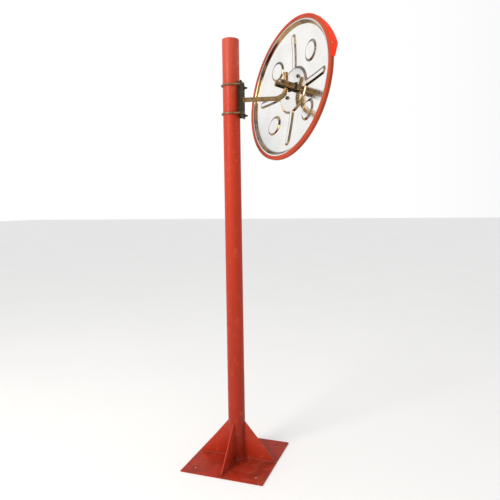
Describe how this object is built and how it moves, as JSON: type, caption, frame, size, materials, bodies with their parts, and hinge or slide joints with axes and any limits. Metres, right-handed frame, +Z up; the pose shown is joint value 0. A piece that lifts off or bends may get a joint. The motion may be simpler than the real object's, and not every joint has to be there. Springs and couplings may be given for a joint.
{
  "type": "traffic convex mirror",
  "caption": "Round convex traffic mirror with a visor, on a clamped bent arm with pan and tilt joints, carried by a free-standing steel post with a gusseted base plate.",
  "frame": {"origin": "the pole's axis at the underside of the base plate", "axes": "+Z up the pole, X and Y along the base plate's sides; the arm leaves the pole 12 degrees from +X towards +Y"},
  "size_m": [1.093, 0.7742, 3.1513],
  "materials": {
    "post_paint": "satin, weathered",
    "bracket_zinc": "yellow zinc, dull",
    "bolt_steel": "zinc plated",
    "back_steel": "polished",
    "mirror": "mirror polished",
    "edging": "semi-gloss",
    "visor": "semi-gloss",
    "rivet": "satin"
  },
  "bodies": {
    "post": {"base_plate": "post_paint", "pole_tube": "post_paint", "pole_cap": "post_paint", "gusset_right": "post_paint", "gusset_back": "post_paint", "gusset_left": "post_paint", "gusset_front": "post_paint", "pole_weld": "post_paint"},
    "bracket": {"u_bolt_upper": "bracket_zinc", "u_bolt_lower": "bracket_zinc", "bracket_plate": "bracket_zinc", "saddle_channel": "bracket_zinc", "u_bolt_washers": "bolt_steel", "u_bolt_nuts": "bolt_steel", "arm_pipe": "bracket_zinc", "arm_weld": "bracket_zinc", "arm_end_cap": "bracket_zinc"},
    "swivel": {"stub_collar": "bracket_zinc", "pinch_bolt": "bolt_steel", "pinch_nut": "bolt_steel", "pinch_washers": "bolt_steel"},
    "mirror_head": {"yoke_bar_left": "bracket_zinc", "yoke_bar_right": "bracket_zinc", "cross_spacer": "bracket_zinc", "cross_bolt": "bolt_steel", "cross_nut": "bolt_steel", "cross_washers": "bolt_steel", "yoke_foot": "bracket_zinc", "foot_bolts": "bolt_steel", "foot_weld_nuts": "bolt_steel", "hub_backing_plate": "bracket_zinc", "hub_bolts": "bolt_steel", "hub_washers": "bolt_steel", "hub_nuts": "bolt_steel", "back_plate": "back_steel", "mirror_face": "mirror", "rim_edging": "edging", "visor": "visor", "visor_rivets": "rivet"}
  },
  "joints": [
    {"name": "bracket_swivel", "type": "hinge", "parent": "post", "child": "bracket", "pos_m": [0, 0, 2.574], "axis": [0, 0, 1], "continuous": true},
    {"name": "head_pan", "type": "hinge", "parent": "bracket", "child": "swivel", "pos_m": [0.38246, 0.08129, 2.666], "axis": [0, 0, 1], "range_deg": [-90, 18]},
    {"name": "head_tilt", "type": "hinge", "parent": "swivel", "child": "mirror_head", "pos_m": [0.38246, 0.08129, 2.666], "axis": [-0.7501, 0.6613, 0], "range_deg": [-12, 11]}
  ]
}
